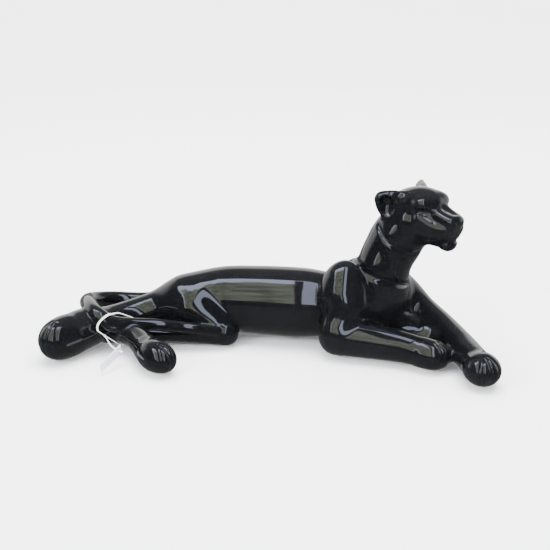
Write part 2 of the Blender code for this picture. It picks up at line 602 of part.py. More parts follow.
def loop_points():
    """The string's path: taut round the folded foot, shin and tail, and never lower than the table."""
    centre = Vector(LOOP_AT)
    across = Vector((math.cos(math.radians(LOOP_YAW)), math.sin(math.radians(LOOP_YAW))))
    facing = Vector((across.y, -across.x))
    outline = []
    room = STRING_RADIUS + STRING_CLEAR
    for along, z, half_width, half_height in limb_sections(LOOPED, centre, across, facing):
        for degrees in range(0, 360, 15):
            a = math.radians(degrees)
            outline.append(Vector((along + (half_width + room) * math.cos(a),
                                   z + (half_height + room) * math.sin(a))))
    hull = [outline[i] for i in convex_hull_2d(outline)]
    points = []
    for p, q in zip(hull, hull[1:] + hull[:1]):
        count = max(1, round((q - p).length / STRING_STEP))
        for i in range(count):
            along, z = p.lerp(q, i / count)
            flat = centre + across * along
            points.append(Vector((*flat, max(z, STRING_RADIUS + 0.2))))
    return points


def string_loop(name, group, radius):
    rows = [(*point, radius) for point in loop_points()]
    return baked(tube_curve(name, rows, group, placed((0, 0, 0)), kind="POLY", cyclic=True, around=1))


def make_tag():
    """A blank card on a string looped round the folded foot, standing on its edge beside it."""
    string = string_loop("tag_string", PARTS, STRING_RADIUS)
    string.data.materials.append(surface("twine"))
    hole = Vector(TAG_HOLE_AT)
    lie = turned_by(TAG_YAW, TAG_PITCH, TAG_ROLL)
    normal = (lie @ Vector((0, 0, 1, 0))).to_3d()
    start = min(loop_points(), key=lambda point: (point - hole).length)
    if (start - hole).dot(normal) < 0:
        normal = -normal
    end_knot_at = hole - normal * 2 * END_KNOT
    path = [start, start.lerp(hole, 0.5) + normal * 1.5, hole + normal * 2.0, end_knot_at]
    rows = [(*point, STRING_RADIUS) for point in path]
    lead = baked(tube_curve("string_lead", rows, CUTTERS, placed((0, 0, 0)), around=1, along=3))
    boolean(string, lead, "UNION")
    loop_knot_at = start + (hole - start).normalized() * (LOOP_KNOT + STRING_CLEAR)
    for knot, at, radius in (("loop_knot", loop_knot_at, LOOP_KNOT), ("end_knot", end_knot_at, END_KNOT)):
        boolean(string, ball(knot, at, (radius,) * 3, (0, 0), placed((0, 0, 0)), detail=1), "UNION")
    card = placed(TAG_HOLE_AT, lie)
    blank = block("tag_card", (TAG_LENGTH, TAG_WIDTH, TAG_THICK), card, PARTS, "card", TAG_CORNER)
    blank.data.transform(Matrix.Translation(((TAG_LENGTH / 2 - TAG_HOLE_INSET) * MM, 0, 0)))
    boolean(blank, cylinder("tag_hole", TAG_HOLE, -5, 5, card, CUTTERS, sides=24))


clear_scene()
PARTS = new_collection("panther_tv_lamp")
CUTTERS = new_collection("cutters", hidden=True)
make_shell()
make_bracket()
make_fastening()
make_nipple()
make_holder()
make_switch()
make_bulb()
make_grommet()
make_pads()
make_tag()
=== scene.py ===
"""Looks for the panther tv lamp: the glazed casting, its fitting, the string and card, and a studio."""

import json
import math

import bmesh
import bpy
import numpy as np
import openvdb
from mathutils import Matrix, Vector
from mathutils.geometry import convex_hull_2d

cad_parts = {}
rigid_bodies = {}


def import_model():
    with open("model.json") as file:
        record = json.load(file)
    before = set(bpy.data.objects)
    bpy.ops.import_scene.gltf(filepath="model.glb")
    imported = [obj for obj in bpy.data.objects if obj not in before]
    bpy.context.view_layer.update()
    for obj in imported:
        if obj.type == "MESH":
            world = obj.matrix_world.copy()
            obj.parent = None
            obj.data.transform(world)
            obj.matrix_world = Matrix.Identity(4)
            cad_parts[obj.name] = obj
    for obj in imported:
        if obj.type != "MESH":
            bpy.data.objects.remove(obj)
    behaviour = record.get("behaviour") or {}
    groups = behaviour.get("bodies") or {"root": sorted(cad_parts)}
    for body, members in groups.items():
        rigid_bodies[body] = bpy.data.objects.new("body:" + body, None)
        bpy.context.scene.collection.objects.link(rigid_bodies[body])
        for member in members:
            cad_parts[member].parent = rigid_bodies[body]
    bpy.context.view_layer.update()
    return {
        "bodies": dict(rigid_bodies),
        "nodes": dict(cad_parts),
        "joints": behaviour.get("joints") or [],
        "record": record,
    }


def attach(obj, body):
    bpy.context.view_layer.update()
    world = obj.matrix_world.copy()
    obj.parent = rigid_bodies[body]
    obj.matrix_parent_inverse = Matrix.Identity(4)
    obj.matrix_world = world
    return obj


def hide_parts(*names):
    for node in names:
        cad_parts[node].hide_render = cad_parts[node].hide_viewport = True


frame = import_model()
NODES = frame["nodes"]

MM = 0.001
SHIFT = np.array((0.0, 26.0, 0.0))     # from the figure's coordinates to the row frame, in millimetres
VOXEL = 1.6


def placed(name, data):
    """A new object with this data, in the scene."""
    obj = bpy.data.objects.new(name, data)
    bpy.context.scene.collection.objects.link(obj)
    return obj


# ---- camera

def look(camera, azimuth, elevation, distance, target):
    a, e = math.radians(azimuth), math.radians(elevation)
    back = Vector((math.sin(a) * math.cos(e), -math.cos(a) * math.cos(e), math.sin(e)))
    camera.location = Vector(target) + back * distance
    camera.rotation_euler = (-back).to_track_quat("-Z", "Y").to_euler()


camera = placed("camera", bpy.data.cameras.new("camera"))
camera.data.lens = 70
camera.data.sensor_width = 36
camera.data.clip_start = 0.05
look(camera, 8, 20, 1.07, (0, 0.026, 0.07))
bpy.context.scene.camera = camera


# ---- materials

class Surface:
    """A Principled material being built from nodes, over the object's own coordinates."""

    def __init__(self, name):
        self.material = bpy.data.materials.new(name)
        self.material.use_nodes = True
        self.tree = self.material.node_tree
        self.shader = self.tree.nodes["Principled BSDF"]
        self.where = self.add("ShaderNodeTexCoord").outputs["Object"]

    def add(self, kind, **settings):
        node = self.tree.nodes.new(kind)
        for name, value in settings.items():
            setattr(node, name, value)
        return node

    def join(self, source, target):
        if hasattr(source, "links"):
            self.tree.links.new(source, target)
        else:
            target.default_value = source

    def noise(self, scale, detail=3.0, rough=0.55, where=None, warp=0.0):
        node = self.add("ShaderNodeTexNoise")
        self.join(where or self.where, node.inputs["Vector"])
        for name, value in (("Scale", scale), ("Detail", detail), ("Roughness", rough), ("Distortion", warp)):
            node.inputs[name].default_value = value
        return node.outputs["Fac"]

    def cells(self, scale):
        node = self.add("ShaderNodeTexVoronoi")
        self.join(self.where, node.inputs["Vector"])
        node.inputs["Scale"].default_value = scale
        return node.outputs["Distance"]

    def stretched(self, factors):
        node = self.add("ShaderNodeVectorMath", operation="MULTIPLY")
        self.join(self.where, node.inputs[0])
        node.inputs[1].default_value = factors
        return node.outputs[0]

    def span(self, value, low, high, to_low=0.0, to_high=1.0):
        node = self.add("ShaderNodeMapRange", interpolation_type="SMOOTHSTEP")
        self.join(value, node.inputs["Value"])
        for name, number in (("From Min", low), ("From Max", high), ("To Min", to_low), ("To Max", to_high)):
            self.join(number, node.inputs[name])
        return node.outputs["Result"]

    def math(self, operation, a, b=0.0):
        node = self.add("ShaderNodeMath", operation=operation)
        self.join(a, node.inputs[0])
        self.join(b, node.inputs[1])
        return node.outputs[0]

    def mix(self, factor, a, b):
        node = self.add("ShaderNodeMix", data_type="RGBA")
        self.join(factor, node.inputs["Factor"])
        self.join((*a, 1) if isinstance(a, tuple) else a, node.inputs[6])
        self.join((*b, 1) if isinstance(b, tuple) else b, node.inputs[7])
        return node.outputs[2]

    def bump(self, value, strength, depth):
        node = self.add("ShaderNodeBump")
        node.inputs["Strength"].default_value = strength
        node.inputs["Distance"].default_value = depth
        self.join(value, node.inputs["Height"])
        before = self.shader.inputs["Normal"]
        if before.links:
            self.join(before.links[0].from_socket, node.inputs["Normal"])
        self.join(node.outputs["Normal"], before)

    def set(self, **values):
        for name, value in values.items():
            target = self.shader.inputs[name.replace("_", " ")]
            self.join(value, target)


def plain_finish(name, colours, rough, grain, depth, metal=0.0, **more):
    """A finish whose colour and roughness wander between two values, with a fine grain in relief."""
    s = Surface(name)
    wander = s.span(s.noise(45, 4), 0.3, 0.7)
    fine = s.noise(grain, 4, 0.6)
    s.set(Base_Color=s.mix(wander, *colours), Metallic=metal,
          Roughness=s.span(s.math("ADD", wander, s.math("MULTIPLY", fine, 0.6)), 0.2, 1.4, *rough), **more)
    s.bump(fine, 0.6, depth)
    return s


def make_glaze():
    """Thick black gloss outside; where the glaze stops, inside and on the dry foot, the pale fired body."""
    s = Surface("black_glaze")
    level = s.add("ShaderNodeAttribute", attribute_name="glazed").outputs["Fac"]
    edge = s.math("ADD", level, s.span(s.noise(90, 4), 0.25, 0.75, -0.28, 0.28))
    glazed = s.span(edge, 0.44, 0.56)
    thin = s.span(edge, 0.5, 0.70, 1.0, 0.0)
    speck = s.span(s.cells(420), 0.06, 0.16, 1.0, 0.0)
    black = s.mix(s.span(s.noise(14, 2), 0.3, 0.7), (0.0026, 0.0028, 0.0032), (0.0038, 0.0040, 0.0046))
    black = s.mix(s.math("MULTIPLY", thin, 0.8), black, (0.045, 0.024, 0.014))
    body = s.mix(s.span(s.noise(60, 5), 0.3, 0.7), (0.66, 0.60, 0.50), (0.78, 0.73, 0.64))
    body = s.mix(s.math("MULTIPLY", speck, 0.35), body, (0.30, 0.24, 0.18))
    gloss = s.span(s.noise(38, 4, 0.6), 0.3, 0.75, 0.035, 0.085)
    rough = s.add("ShaderNodeMix")
    s.join(glazed, rough.inputs["Factor"])
    rough.inputs[2].default_value = 0.82
    s.join(gloss, rough.inputs[3])
    s.set(Base_Color=s.mix(glazed, body, black), Roughness=rough.outputs[0], IOR=1.43)
    s.bump(s.noise(55, 2, 0.5), 0.10, 0.0006)
    s.bump(s.math("MULTIPLY", s.noise(900, 4), s.math("SUBTRACT", 1.0, glazed)), 0.5, 0.0002)
    return s.material


def make_felt():
    s = plain_finish("felt", ((0.008, 0.022, 0.014), (0.014, 0.034, 0.022)), (0.9, 1.0), 3200, 0.0004)
    s.set(Sheen_Weight=0.5, Sheen_Roughness=0.6)
    s.bump(s.noise(900, 5, 0.7, warp=1.5), 0.9, 0.0006)
    return s.material


def make_twine():
    s = plain_finish("twine", ((0.80, 0.79, 0.76), (0.90, 0.89, 0.87)), (0.75, 0.95), 6000, 0.00012)
    s.set(Sheen_Weight=0.4, Subsurface_Weight=0.15, Subsurface_Scale=0.001)
    return s.material


def make_card():
    s = plain_finish("card", ((0.70, 0.70, 0.80), (0.78, 0.78, 0.87)), (0.55, 0.75), 2500, 0.00005)
    fibres = s.noise(1, 5, 0.6, s.stretched((500, 2600, 500)))
    s.bump(fibres, 0.3, 0.00004)
    s.set(Subsurface_Weight=0.1, Subsurface_Scale=0.0008)
    return s.material


def make_clear_glass():
    s = Surface("bulb_glass")
    dust = s.span(s.noise(160, 5, 0.65), 0.45, 0.8)
    s.set(Base_Color=s.mix(dust, (0.985, 0.99, 0.985), (0.93, 0.93, 0.90)), Transmission_Weight=1.0, IOR=1.47,
          Roughness=s.math("MULTIPLY", dust, 0.10))
    s.bump(s.noise(45, 2), 0.06, 0.0004)
    return s.material


def make_steel():
    s = plain_finish("zinc_steel", ((0.50, 0.51, 0.53), (0.66, 0.66, 0.64)), (0.28, 0.46), 2600, 0.00004, 1.0)
    s.bump(s.noise(1, 3, 0.6, s.stretched((90, 90, 1800))), 0.25, 0.00005)
    return s.material


FINISHES = {
    "black_glaze": make_glaze(),
    "zinc_steel": make_steel(),
    "bulb_glass": make_clear_glass(),
    "felt": make_felt(),
    "twine": make_twine(),
    "card": make_card(),
    "bakelite": plain_finish("bakelite", ((0.012, 0.009, 0.008), (0.030, 0.018, 0.012)), (0.20, 0.38), 1500,
                             0.00003, IOR=1.6).material,
}
PLAIN_FINISHES = {
    "brass": (((0.62, 0.43, 0.16), (0.80, 0.60, 0.27)), (0.20, 0.42), 2400, 0.00004, 1.0),
    "porcelain": (((0.80, 0.79, 0.75), (0.87, 0.86, 0.83)), (0.16, 0.30), 700, 0.00005),
    "spring_bronze": (((0.58, 0.32, 0.15), (0.72, 0.44, 0.22)), (0.24, 0.40), 2600, 0.00003, 1.0),
    "nickel_cap": (((0.60, 0.58, 0.54), (0.72, 0.70, 0.66)), (0.18, 0.34), 2400, 0.00003, 1.0),
    "black_glass": (((0.008, 0.008, 0.010), (0.016, 0.015, 0.018)), (0.06, 0.16), 900, 0.00003),
    "solder": (((0.42, 0.42, 0.42), (0.56, 0.56, 0.55)), (0.30, 0.48), 2200, 0.00005, 1.0),
    "tungsten": (((0.22, 0.22, 0.23), (0.34, 0.34, 0.34)), (0.35, 0.5), 5000, 0.00001, 1.0),
    "rubber": (((0.014, 0.014, 0.015), (0.030, 0.030, 0.031)), (0.55, 0.78), 1800, 0.00008),
    "fibre": (((0.16, 0.035, 0.022), (0.24, 0.060, 0.036)), (0.55, 0.75), 2600, 0.00006),
}
for slot, values in PLAIN_FINISHES.items():
    FINISHES[slot] = plain_finish(slot, *values).material
SLOT_OF = {row["node"]: row["material_slot"] for row in frame["record"]["subparts"]}


# ---- meshes

def add_mesh(name, points, faces, slot, body, nodes, normals=None, smooth_angle=None):
    """A piece in figure coordinates and millimetres, riding on its body in place of the CAD nodes named."""
    mesh = bpy.data.meshes.new(name)
    mesh.from_pydata(((np.asarray(points) + SHIFT) * MM).tolist(), [], [list(f) for f in faces])
    mesh.update()
    mesh.shade_smooth()
    if smooth_angle:
        mesh.set_sharp_from_angle(angle=math.radians(smooth_angle))
    if normals is not None:
        mesh.normals_split_custom_set_from_vertices(normals.tolist())
    mesh.materials.append(FINISHES[slot])
    obj = placed(name, mesh)
    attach(obj, body)
    if nodes:
        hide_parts(*nodes)
    return obj


# ---- shapes as distance fields

FAR_AWAY = 1000.0


def turned_by(yaw, pitch, roll=0.0):
    return np.array(Matrix.Rotation(math.radians(yaw), 3, "Z") @ Matrix.Rotation(math.radians(pitch), 3, "Y")
                    @ Matrix.Rotation(math.radians(roll), 3, "X"))


BODY = (np.eye(3), np.zeros(3))
HEAD = (turned_by(-42.0, 4.0), np.array((136.5, 12.0, 142.3)))


class Tube:
    """A limb or groove: a round tube of changing radius along a smooth curve through its rows."""

    def __init__(self, rows, blend=7.0, cut=False, frame=BODY, spacing=9.0):
        axes, origin = frame
        rows = np.asarray(rows, float)
        rows = np.hstack([rows[:, :3] @ axes.T + origin, rows[:, 3:]])
        ends = np.vstack([2 * rows[0] - rows[1], rows, 2 * rows[-1] - rows[-2]])
        a, b, c, d = ends[:-3], ends[1:-2], ends[2:-1], ends[3:]
        self.cubic = 0.5 * np.stack([2 * b, c - a, 2 * a - 5 * b + 4 * c - d, 3 * b - a - 3 * c + d], 1)
        self.starts = []
        for i, (p, q) in enumerate(zip(rows, rows[1:])):
            count = max(1, math.ceil(np.linalg.norm((q - p)[:3]) / spacing))
            self.starts += [i + (j + 0.5) / count for j in range(count)]
        self.starts = np.array([0.0] + self.starts + [len(rows) - 1.0])
        self.blend, self.cut = blend, cut
        line = self.at(self.starts)
        reach = rows[:, 3].max() + spacing / 2
        self.low, self.high = line[:, :3].min(0) - reach, line[:, :3].max(0) + reach

    def at(self, u, slope=False):
        """Position and radius at the curve's parameter u, or their rate of change."""
        i = np.clip(u.astype(int), 0, len(self.cubic) - 1)
        t = (u - i)[:, None]
        c = self.cubic[i]
        if slope:
            return c[:, 1] + t * (2 * c[:, 2] + 3 * t * c[:, 3])
        return c[:, 0] + t * (c[:, 1] + t * (c[:, 2] + t * c[:, 3]))

    def distance(self, where):
        where = where.astype(float)
        best = np.full(len(where), np.inf)
        u = np.zeros(len(where))
        for start, point in zip(self.starts, self.at(self.starts)):
            gap = where - point[:3]
            squared = np.einsum("ij,ij->i", gap, gap)
            closer = squared < best
            best[closer] = squared[closer]
            u[closer] = start
        last = len(self.cubic)
        for _ in range(3):
            line, rate = self.at(u)[:, :3], self.at(u, True)[:, :3]
            u = np.clip(u + np.einsum("ij,ij->i", where - line, rate)
                        / np.maximum(np.einsum("ij,ij->i", rate, rate), 1e-6), 0, last)
        line = self.at(u)
        gap = where - line[:, :3]
        return np.sqrt(np.einsum("ij,ij->i", gap, gap)) - line[:, 3]


class Mass:
    """An ellipsoid: centre, three radii, and a yaw, pitch and roll."""

    def __init__(self, centre, radii, turn=(0, 0, 0), blend=7.0, cut=False, frame=BODY):
        axes, origin = frame
        self.centre = axes @ np.array(centre, float) + origin
        self.axes = axes @ turned_by(*turn)
        self.radii = np.array(radii, float)
        self.blend, self.cut = blend, cut
        reach = np.sqrt(((self.axes * self.radii) ** 2).sum(1))
        self.low, self.high = self.centre - reach, self.centre + reach

    def distance(self, where):
        local = (where - self.centre) @ self.axes
        ratio = np.sqrt(((local / self.radii) ** 2).sum(1))
        slope = np.sqrt(((local / self.radii ** 2) ** 2).sum(1))
        return np.where(slope > 1e-9, ratio * (ratio - 1) / np.maximum(slope, 1e-9), -self.radii.min())


class Block:
    """A box with rounded edges: centre, three full sides and the edges' radius."""

    def __init__(self, centre, sides, edge, blend=2.0, cut=False):
        self.centre, self.half = np.array(centre, float), np.array(sides, float) / 2
        self.edge, self.blend, self.cut = edge, blend, cut
        self.low, self.high = self.centre - self.half, self.centre + self.half

    def distance(self, where):
        past = np.abs(where - self.centre) - self.half + self.edge
        outside = np.sqrt((np.maximum(past, 0) ** 2).sum(1))
        return outside + np.minimum(past.max(1), 0) - self.edge


class Rod:
    """A straight round hole or pin with flat ends and eased edges, from one point to another."""

    def __init__(self, start, end, radius, blend=0.8, cut=True, edge=0.0):
        self.start, self.run = np.array(start, float), np.array(end, float) - np.array(start, float)
        self.length = np.linalg.norm(self.run)
        self.run /= self.length
        self.radius, self.blend, self.cut, self.edge = radius, blend, cut, edge
        both = np.array([start, end], float)
        self.low, self.high = both.min(0) - radius, both.max(0) + radius

    def distance(self, where):
        gap = where - self.start
        along = gap @ self.run
        across = np.sqrt(np.maximum((gap ** 2).sum(1) - along ** 2, 0)) - self.radius + self.edge
        past = np.abs(along - self.length / 2) - self.length / 2 + self.edge
        corner = np.hypot(np.maximum(across, 0), np.maximum(past, 0))
        return np.minimum(np.maximum(across, past), 0) + corner - self.edge


class Group:
    """Shapes joined among themselves first, then joined to or cut from the rest as one."""

    def __init__(self, shapes, blend=7.0, cut=False):
        self.shapes, self.blend, self.cut = shapes, blend, cut
        solid = [s for s in shapes if not s.cut]
        self.low = np.min([s.low for s in solid], 0)
        self.high = np.max([s.high for s in solid], 0)

    def distance(self, where):
        return field(self.shapes, where)


def joined(base, other, blend, cut):
    """The union of two distance fields, or the first less the second, with a fillet of the blend's size."""
    if cut:
        base = -base
    overlap = np.maximum(blend - np.abs(base - other), 0) / blend
    both = np.minimum(base, other) - overlap * overlap * blend / 4
    return -both if cut else both


def field(shapes, where):
    total = np.full(len(where), FAR_AWAY)
    for shape in shapes:
        margin = shape.blend + 6
        near = np.all((where > shape.low - margin) & (where < shape.high + margin), axis=1)
        if near.any():
            total[near] = joined(total[near], shape.distance(where[near]), shape.blend, shape.cut)
    return total


def field_on_grid(shapes, low, high, voxel):
    axes = [np.arange(low[i], high[i] + voxel, voxel) for i in range(3)]
    total = np.full([len(a) for a in axes], FAR_AWAY)
    for shape in shapes:
        margin = shape.blend + 3 * voxel
        part = tuple(slice(max(0, int(np.searchsorted(a, shape.low[i] - margin))),
                           int(np.searchsorted(a, shape.high[i] + margin))) for i, a in enumerate(axes))
        grid = np.stack(np.meshgrid(*[a[p] for a, p in zip(axes, part)], indexing="ij"), -1)
        if grid.size:
            found = shape.distance(grid.reshape(-1, 3)).reshape(grid.shape[:3])
            total[part] = joined(total[part], found, shape.blend, shape.cut)
    return total


CORNERS = np.array([(1, -1, -1), (-1, -1, 1), (-1, 1, -1), (1, 1, 1)], float)


def slope_of(shapes, where, reach=0.3):
    """The field's gradient, from four nearby samples."""
    return sum(c * field(shapes, where + c * reach)[:, None] for c in CORNERS) / (4 * reach)


def drawn_to(shapes, points, rounds, step):
    """The points moved along the gradient onto the surface."""
    for _ in range(rounds):
        slope = slope_of(shapes, points)
        steep = np.maximum((slope * slope).sum(1), 0.25)
        points = points - np.clip(field(shapes, points) / steep, -step, step)[:, None] * slope
    return points


def skin_of(shapes, voxel):
    """Vertices, quads and normals of the shapes' surface."""
    whole = Group(shapes)
    low, high = whole.low - 3 * voxel, whole.high + 3 * voxel
    grid = openvdb.FloatGrid()
    grid.copyFromArray(np.clip(field_on_grid(shapes, low, high, voxel), -9, 9).astype(np.float32))
    points, quads = grid.convertToQuads(isovalue=0.0)
    points = drawn_to(shapes, np.asarray(points, float) * voxel + low, 3, 0.6 * voxel)
    slope = slope_of(shapes, points)
    return points, np.asarray(quads), slope / np.maximum(np.linalg.norm(slope, axis=1), 1e-9)[:, None]


def groove(shapes, rows, blend, frame=BODY):
    """A groove along the surface: each row's point is drawn onto the shapes; its radius is the groove's."""
    axes, origin = frame
    rows = np.asarray(rows, float)
    points = drawn_to(shapes, rows[:, :3] @ axes.T + origin, 8, 4.0)
    return Tube(np.hstack([points, rows[:, 3:]]), blend=blend, cut=True, spacing=3.0)


# ---- the panther, in figure coordinates

FOOT_Z, FLOOR_Z = 1.8, 9.8

LIMBS = {
    "trunk": ([(-124, 14, 21, 15), (-96, 14, 30, 26), (-60, 15, 35.5, 33), (-20, 14, 37, 35),
               (25, 13, 37, 35.5), (60, 12, 38, 32), (92, 10, 48, 31)], 1),
    "neck": ([(107, 13, 64, 25), (109.5, 13, 86, 25.5), (118.5, 12, 108, 27), (130, 12, 128, 25)], 5),
    "near_upper_arm": ([(76, -17, 46, 20), (67, -25, 28, 19)], 6),
    "near_foreleg": ([(66, -29, 19.5, 18.5), (98, -34, 19, 17.5), (124, -39, 18, 16),
                      (146, -45, 16, 14.5)], 7),
    "far_foreleg": ([(104, 34, 56, 24), (124, 32, 46, 20.5), (145, 23, 31, 17), (166, 0, 23, 15.5),
                     (185, -32, 18, 14.5), (196, -58, 16, 14.5)], 8),
    "foreleg_web": ([(98, 4, 32, 22), (122, 4, 22, 19), (146, -4, 16, 14), (164, -14, 13, 11)], 10),
    "outstretched_leg": ([(-96, 8, 31, 27), (-125, 3, 24, 20), (-148, -6, 20, 17), (-167, -22, 19, 16.5),
                          (-183, -46, 21.5, 20), (-193, -64, 21, 20.5)], 8),
    "folded_thigh": ([(-80, -6, 30, 22), (-55, -16, 19, 16), (-46, -22, 14, 12)], 9),
    "folded_shin": ([(-48, -22, 13, 12), (-100, -26, 13, 10), (-162, -34, 13, 11)], 4),
    "folded_foot": ([(-166, -34, 15, 12), (-150, -39, 16.5, 11.5), (-132, -52, 17, 11.5),
                     (-116, -72, 15, 13)], 4),
    "tail": ([(-104, 28, 28, 10), (-145, 34, 22, 8.5), (-179, 27, 24, 8.5), (-195, 5, 30, 8.5),
              (-186, -25, 37, 8.5), (-172, -49, 38, 8.5), (-156, -52, 30, 8.5), (-138, -45, 27, 7),
              (-110, -38, 25.5, 6), (-80, -36, 23, 5.5), (-55, -32, 19, 5)], 2.5),
}
MASSES = {
    "haunch": ((-84, 4, 31.5), (34, 27, 29.5), (0, 0, 0), 12),
    "chest": ((101, 10, 50), (33, 31, 36), (0, 0, 0), 12),
    "withers": ((84, 14, 68), (20, 20, 19), (0, 0, 0), 8),
    "far_shoulder": ((98, 36, 54), (26, 20, 30), (0, 0, 0), 10),
    "near_shoulder": ((70.5, -13, 57), (25.5, 22, 35), (0, 3, -16), 3),
    "neck_base": ((106, 4, 80), (24, 23, 32), (0, 8, -12), 8),
    "near_paw": ((158, -50, 15), (19, 16, 14.5), (-20, 0, 0), 7),
    "far_paw": ((204, -78, 16), (21, 17.5, 15.5), (-66, 0, 0), 7),
    "outstretched_paw": ((-201, -76, 21), (23, 19.5, 20.5), (-112, 0, 0), 8),
    "folded_paw": ((-101.5, -90, 15), (25, 16, 15.5), (-40, 0, 0), 7),
}
BODY_ORDER = ("trunk", "haunch", "chest", "withers", "far_shoulder", "neck", "neck_base", "foreleg_web",
              "near_shoulder", "near_upper_arm", "near_foreleg", "near_paw", "far_foreleg", "far_paw",
              "outstretched_leg", "outstretched_paw", "folded_thigh", "folded_shin", "folded_foot",
              "folded_paw", "tail")
PAD_SPOTS = ((70, -25), (16, 26), (203, -75), (-82, 16), (-102, -88), (-200, -72))


def body_shapes():
    shapes = []
    for name in BODY_ORDER:
        if name in LIMBS:
            rows, blend = LIMBS[name]
            shapes.append(Tube(rows, blend))
        else:
            centre, radii, turn, blend = MASSES[name]
            shapes.append(Mass(centre, radii, turn, blend))
    return shapes + [Tube([(x, y, -4, 8), (x, y, 4, 8)], 5) for x, y in PAD_SPOTS]


EAR_RIMS = {
    1: ([(-7, 15, 12.5, 5), (-15, 23, 12.5, 4.8), (-21, 28.5, 11.5, 3.4)],
        [(-15, 24, 8, 6), (-20.5, 28.5, 12, 3.6), (-23, 30.5, 14, 2.4)]),
    -1: ([(-7, -15, 12.5, 5), (-14, -22, 12, 5.4), (-18.5, -27, 9.5, 5.4)],
         [(-15, -24, 6, 6.5), (-19, -28, 8, 5.2), (-20.5, -29.5, 8.5, 4.6)]),
}


def head_shapes():
    """The head in its own frame: x forward, y to the animal's left, z up."""
    h = {"frame": HEAD}
    shapes = [
        Mass((-1, 0, 0.5), (24, 23, 19), blend=8, **h),
        Mass((12, 0, 9), (19.5, 19.5, 13.5), blend=8, **h),
        Mass((5, 0, -14), (22, 22.5, 20.5), blend=8, **h),
        Tube([(4, 0, -20, 14), (24, 0, -20.5, 10.5), (38, 0, -22.5, 7)], 5, **h),
        Mass((44.5, 0, -21.6), (8.6, 9.5, 8.8), blend=4, **h),
        Tube([(16, 0, -5, 15), (32, 0, -6, 12.5), (43.5, 0, -5.5, 11)], 7, **h),
    ]
    for s in (1, -1):
        shapes += [
            Tube([(19, s * 7, 6, 7), (34, s * 6.5, 3, 6.2), (49, s * 5.5, 0.5, 5.6)], 5, **h),
            Tube([(21, s * 17, -2, 5), (36, s * 14, -6, 4.5), (48, s * 9, -7.5, 4.2)], 5, **h),
            Tube([(10, s * 13, -12, 9.5), (26, s * 11.5, -13.5, 8.5), (40, s * 7.5, -12, 7.5)], 6, **h),
            Mass((19, s * 12, 12), (8.5, 8.5, 6.5), (s * 18, 0, 0), 5, **h),
            Mass((40, s * 6.5, -11), (11, 7.5, 8), (s * -6, 8, 0), 4, **h),
        ]
    shapes.append(Mass((52, 0, 0.8), (4.5, 6.5, 5.2), blend=4, **h))
    for s in (1, -1):
        turn = (s * 40, -17, s * -31)
        shapes.append(Group([
            Mass((-15.5, s * 24.5, 1.5), (6, 10, 15.5), turn, 4, **h),
            *[Tube(rows, 4, **h) for rows in EAR_RIMS[s]],
            Mass((-9.5, s * 29, 3), (7.5, 8, 12), turn, 2, True, **h),
        ], 3.5))
    return shapes


def head_grooves(base):
    """Mouth, eyes, nostrils and the line under the nose."""
    lips = [(20, 16, -24.5, 0.2), (28, 14.5, -23.4, 0.5), (38, 11, -21.4, 0.8), (47, 7.5, -19.6, 1.1),
            (54, 0, -18.6, 1.2)]
    cuts = [(lips + [(x, -y, z, r) for x, y, z, r in lips[-2::-1]], 1.8)]
    for s in (1, -1):
        cuts += [
            ([(17, s * 20, 5.5, 0.4), (22, s * 18.5, 6.6, 0.9), (27, s * 15, 6.4, 1.1),
              (31, s * 10, 4.6, 0.6)], 3.5),
            ([(21, s * 19, 4, 0.2), (25, s * 17, 3, 0.35), (29, s * 14.5, 3, 0.35),
              (31, s * 12, 4, 0.2)], 1.2),
            ([(57, s * 2.6, 0.5, 1.1), (56, s * 5.5, 2.5, 0.6)], 1.2),
        ]
    cuts.append(([(59, 0, -4, 0.4), (57, 0, -8, 0.5), (55, 0, -11, 0.6)], 1.5))
    return [groove(base, rows, blend, HEAD) for rows, blend in cuts]


def paw_grooves(base, name, depth):
    """Three grooves between the toes, from the top of the paw over its front to the ground."""
    centre, radii, turn, _ = MASSES[name]
    axes = turned_by(*turn)
    out = []
    for side in (-0.62, 0.0, 0.62):
        rows = []
        for t in np.linspace(0, 1, 6):
            up = math.radians(74 - 96 * t)
            out_by = np.array((math.cos(up) * math.cos(side), math.cos(up) * math.sin(side),
                               math.sin(up))) * radii
            deep = 0.3 + depth * math.sin(math.pi * min(1, 0.2 + t)) ** 0.7
            rows.append((*(np.array(centre) + axes @ out_by), deep))
        out.append(groove(base, rows, 3.0))
    return out


def panther_shapes():
    body = body_shapes()
    body.append(Group(head_shapes(), 6))
    carved = list(body)
    carved += head_grooves(body)
    for name, depth in (("near_paw", 0.8), ("far_paw", 0.55), ("folded_paw", 0.6), ("outstretched_paw", 0.1)):
        carved += paw_grooves(body, name, depth)
    throat = [(-14, -22, -23, 0.2), (-5, -23, -31, 0.7), (8, -22, -36, 0.9), (18, -18, -40, 0.8),
              (24, -10, -43, 0.3)]
    for s in (1, -1):
        carved.append(groove(body, [(x, -s * y, z, r) for x, y, z, r in throat], 5.0, HEAD))
    degrees = np.arange(175, 366, 12)
    x, y = np.cos(np.radians(degrees)), np.sin(np.radians(degrees))
    depth = 0.1 + 1.7 * np.sin(np.radians((degrees - 170) * 0.9)) ** 0.5
    carved.append(groove(body, np.column_stack([104 + 30 * x, 12 + 30 * y, 75 - 10 * x - 3 * y, depth]), 5.0))
    return carved


# ---- the hollow, the window and the holes

